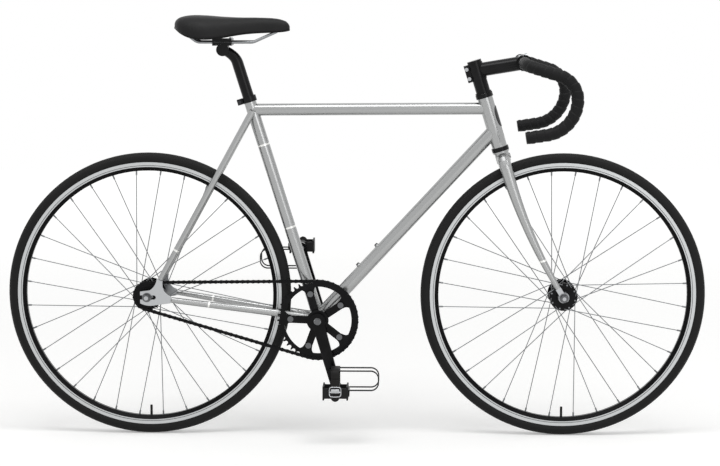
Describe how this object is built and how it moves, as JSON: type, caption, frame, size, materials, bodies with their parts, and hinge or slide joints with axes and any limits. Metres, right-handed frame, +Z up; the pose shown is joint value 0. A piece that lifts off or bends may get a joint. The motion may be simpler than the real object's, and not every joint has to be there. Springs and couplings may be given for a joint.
{
  "type": "fixed gear bike",
  "caption": "Fixed gear track bicycle with drop bars, deep black rims, silver-grey tubes, black saddle and toe-clip pedals",
  "frame": {"origin": "on the ground in the middle plane, halfway between the wheel centres", "axes": "+X forward, +Y to the rider's left, +Z up"},
  "size_m": [1.665, 0.4286, 1.0033],
  "materials": {
    "frame_paint": "satin",
    "bright_steel": "satin",
    "rim_alloy": "satin",
    "black_alloy": "satin",
    "bar_alloy": "satin",
    "chain_steel": "satin",
    "tyre_rubber": "matte",
    "tape": "matte",
    "black_plastic": "matte",
    "saddle_leather": "satin",
    "strap_leather": "matte"
  },
  "bodies": {
    "frame": {"head_tube": "frame_paint", "top_tube": "frame_paint", "down_tube": "frame_paint", "seat_tube": "frame_paint", "bottom_bracket_shell": "frame_paint", "chainstays": "frame_paint", "seatstays": "frame_paint", "rear_dropouts": "bright_steel", "frame_bolts": "bright_steel", "seat_collar": "black_alloy", "headset_cups": "black_alloy", "headset_bearings": "bright_steel", "bottom_bracket_cups": "black_alloy", "rear_axle": "bright_steel", "rear_axle_nuts": "bright_steel", "chain": "chain_steel"},
    "seatpost": {"seatpost": "black_alloy"},
    "saddle": {"seat_clamp": "black_alloy", "seat_clamp_bolts": "bright_steel", "saddle_rails": "bright_steel", "saddle_shell": "black_plastic", "saddle_cover": "saddle_leather"},
    "fork": {"fork_steerer": "frame_paint", "fork_blades": "frame_paint", "fork_tips": "bright_steel", "headset_spacers": "black_alloy", "headset_top_cap": "black_alloy", "stem": "black_alloy", "stem_faceplate": "black_alloy", "stem_bolts": "bright_steel", "handlebar": "bar_alloy", "bar_tape": "tape", "bar_end_plugs": "tape", "front_axle": "bright_steel", "front_axle_nuts": "bright_steel"},
    "front_wheel": {"front_tyre": "tyre_rubber", "front_inner_tube": "tyre_rubber", "front_rim": "rim_alloy", "front_spokes": "bright_steel", "front_hub": "black_alloy", "front_hub_bearings": "bright_steel"},
    "rear_wheel": {"rear_tyre": "tyre_rubber", "rear_inner_tube": "tyre_rubber", "rear_rim": "rim_alloy", "rear_spokes": "bright_steel", "rear_hub": "black_alloy", "rear_hub_bearings": "bright_steel", "rear_cog": "chain_steel"},
    "crankset": {"crank_right": "black_alloy", "crank_left": "black_alloy", "chainring": "black_alloy", "crankset_bolts": "bright_steel", "bottom_bracket_spindle": "bright_steel", "pedal_spindles": "bright_steel"},
    "pedal_right": {"pedal_body_right": "black_plastic", "toe_clip_right": "bright_steel", "toe_strap_right": "strap_leather"},
    "pedal_left": {"pedal_body_left": "black_plastic", "toe_clip_left": "bright_steel", "toe_strap_left": "strap_leather"}
  },
  "joints": [
    {"name": "steering", "type": "hinge", "parent": "frame", "child": "fork", "pos_m": [0.32323, 0, 0.75123], "axis": [-0.2924, 0, 0.9563], "range_deg": [-80, 80]},
    {"name": "front_wheel_spin", "type": "hinge", "parent": "fork", "child": "front_wheel", "pos_m": [0.4935, 0, 0.339], "axis": [0, 1, 0], "continuous": true},
    {"name": "rear_wheel_spin", "type": "hinge", "parent": "frame", "child": "rear_wheel", "pos_m": [-0.4935, 0, 0.339], "axis": [0, 1, 0], "continuous": true},
    {"name": "crank_spin", "type": "hinge", "parent": "frame", "child": "crankset", "pos_m": [-0.08912, 0, 0.283], "axis": [0, 1, 0], "continuous": true, "deforming": ["chain"]},
    {"name": "pedal_right_spin", "type": "hinge", "parent": "crankset", "child": "pedal_right", "pos_m": [-0.04447, -0.113, 0.12416], "axis": [0, 1, 0], "continuous": true},
    {"name": "pedal_left_spin", "type": "hinge", "parent": "crankset", "child": "pedal_left", "pos_m": [-0.13377, 0.113, 0.44184], "axis": [0, 1, 0], "continuous": true},
    {"name": "seatpost_slide", "type": "slide", "parent": "frame", "child": "seatpost", "axis": [-0.299, 0, 0.9542], "range_m": [-0.05, 0.06]},
    {"name": "saddle_tilt", "type": "hinge", "parent": "seatpost", "child": "saddle", "pos_m": [-0.3139, 0, 0.92202], "axis": [0, 1, 0], "range_deg": [-12, 12]}
  ],
  "couplings": [
    {"joint": "crank_spin", "follows": "rear_wheel_spin", "ratio": 0.34783}
  ]
}
